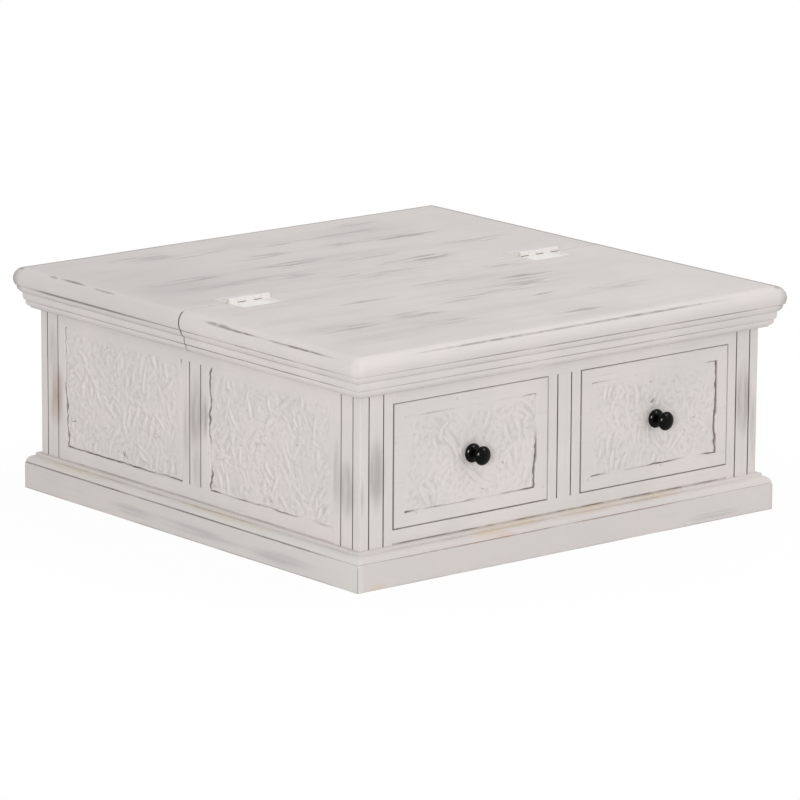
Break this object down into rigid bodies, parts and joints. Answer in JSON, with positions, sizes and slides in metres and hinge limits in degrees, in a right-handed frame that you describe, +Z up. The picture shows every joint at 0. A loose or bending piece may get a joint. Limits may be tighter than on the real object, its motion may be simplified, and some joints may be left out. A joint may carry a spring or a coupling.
{
  "type": "coffee table",
  "caption": "Low square coffee table in distressed white paint: a lifting half top over a storage well, carved panels, sliding drawers with turned knobs and a moulded plinth.",
  "frame": {"origin": "on the floor under the middle of the table", "axes": "+Z up, the drawers face -Y and open along -Y, +X to the right seen from the drawers"},
  "size_m": [0.7, 0.7015, 0.297],
  "materials": {
    "painted_wood": "distressed white paint, worn to brown along edges and sunk lines",
    "carved_wood": "rough carved relief under white paint",
    "inner_wood": "plain wood, thinly limed",
    "hinge_paint": "white brushed paint",
    "hinge_steel": "plain steel wire",
    "knob_black": "black gloss"
  },
  "bodies": {
    "carcass": {"bottom_board": "inner_wood", "bottom_rail_front": "painted_wood", "bottom_rail_left": "painted_wood", "bottom_rail_rear": "painted_wood", "bottom_rail_right": "painted_wood", "carved_panel_left_front": "carved_wood", "carved_panel_left_rear": "carved_wood", "carved_panel_rear_left": "carved_wood", "carved_panel_rear_right": "carved_wood", "carved_panel_right_front": "carved_wood", "carved_panel_right_rear": "carved_wood", "corner_post_front_left": "painted_wood", "corner_post_front_right": "painted_wood", "corner_post_rear_left": "painted_wood", "corner_post_rear_right": "painted_wood", "drawer_guides": "inner_wood", "drawer_kickers": "inner_wood", "drawer_partition": "inner_wood", "drawer_runners": "inner_wood", "front_top_board": "painted_wood", "front_top_moulding_front": "painted_wood", "front_top_moulding_left": "painted_wood", "front_top_moulding_right": "painted_wood", "hinge_front_leaves": "hinge_paint", "hinge_pins": "hinge_steel", "mid_stile_front": "painted_wood", "mid_stile_left": "painted_wood", "mid_stile_rear": "painted_wood", "mid_stile_right": "painted_wood", "plinth_board_front": "painted_wood", "plinth_board_left": "painted_wood", "plinth_board_rear": "painted_wood", "plinth_board_right": "painted_wood", "plinth_cap_front": "painted_wood", "plinth_cap_left": "painted_wood", "plinth_cap_rear": "painted_wood", "plinth_cap_right": "painted_wood", "top_rail_front": "painted_wood", "top_rail_left": "painted_wood", "top_rail_rear": "painted_wood", "top_rail_right": "painted_wood", "well_divider": "inner_wood"},
    "lid": {"hinge_rear_leaves": "hinge_paint", "lid_board": "painted_wood", "lid_moulding_left": "painted_wood", "lid_moulding_rear": "painted_wood", "lid_moulding_right": "painted_wood"},
    "drawer_left": {"drawer_left_back": "inner_wood", "drawer_left_bottom": "inner_wood", "drawer_left_carved_panel": "carved_wood", "drawer_left_front": "painted_wood", "drawer_left_knob": "knob_black", "drawer_left_sides": "inner_wood"},
    "drawer_right": {"drawer_right_back": "inner_wood", "drawer_right_bottom": "inner_wood", "drawer_right_carved_panel": "carved_wood", "drawer_right_front": "painted_wood", "drawer_right_knob": "knob_black", "drawer_right_sides": "inner_wood"}
  },
  "joints": [
    {"name": "lid_hinge", "type": "hinge", "parent": "carcass", "child": "lid", "pos_m": [0, 0, 0.2933], "axis": [1, 0, 0], "range_deg": [0, 180]},
    {"name": "drawer_left_slide", "type": "slide", "parent": "carcass", "child": "drawer_left", "axis": [0, -1, 0], "range_m": [0, 0.22]},
    {"name": "drawer_right_slide", "type": "slide", "parent": "carcass", "child": "drawer_right", "axis": [0, -1, 0], "range_m": [0, 0.22]}
  ]
}
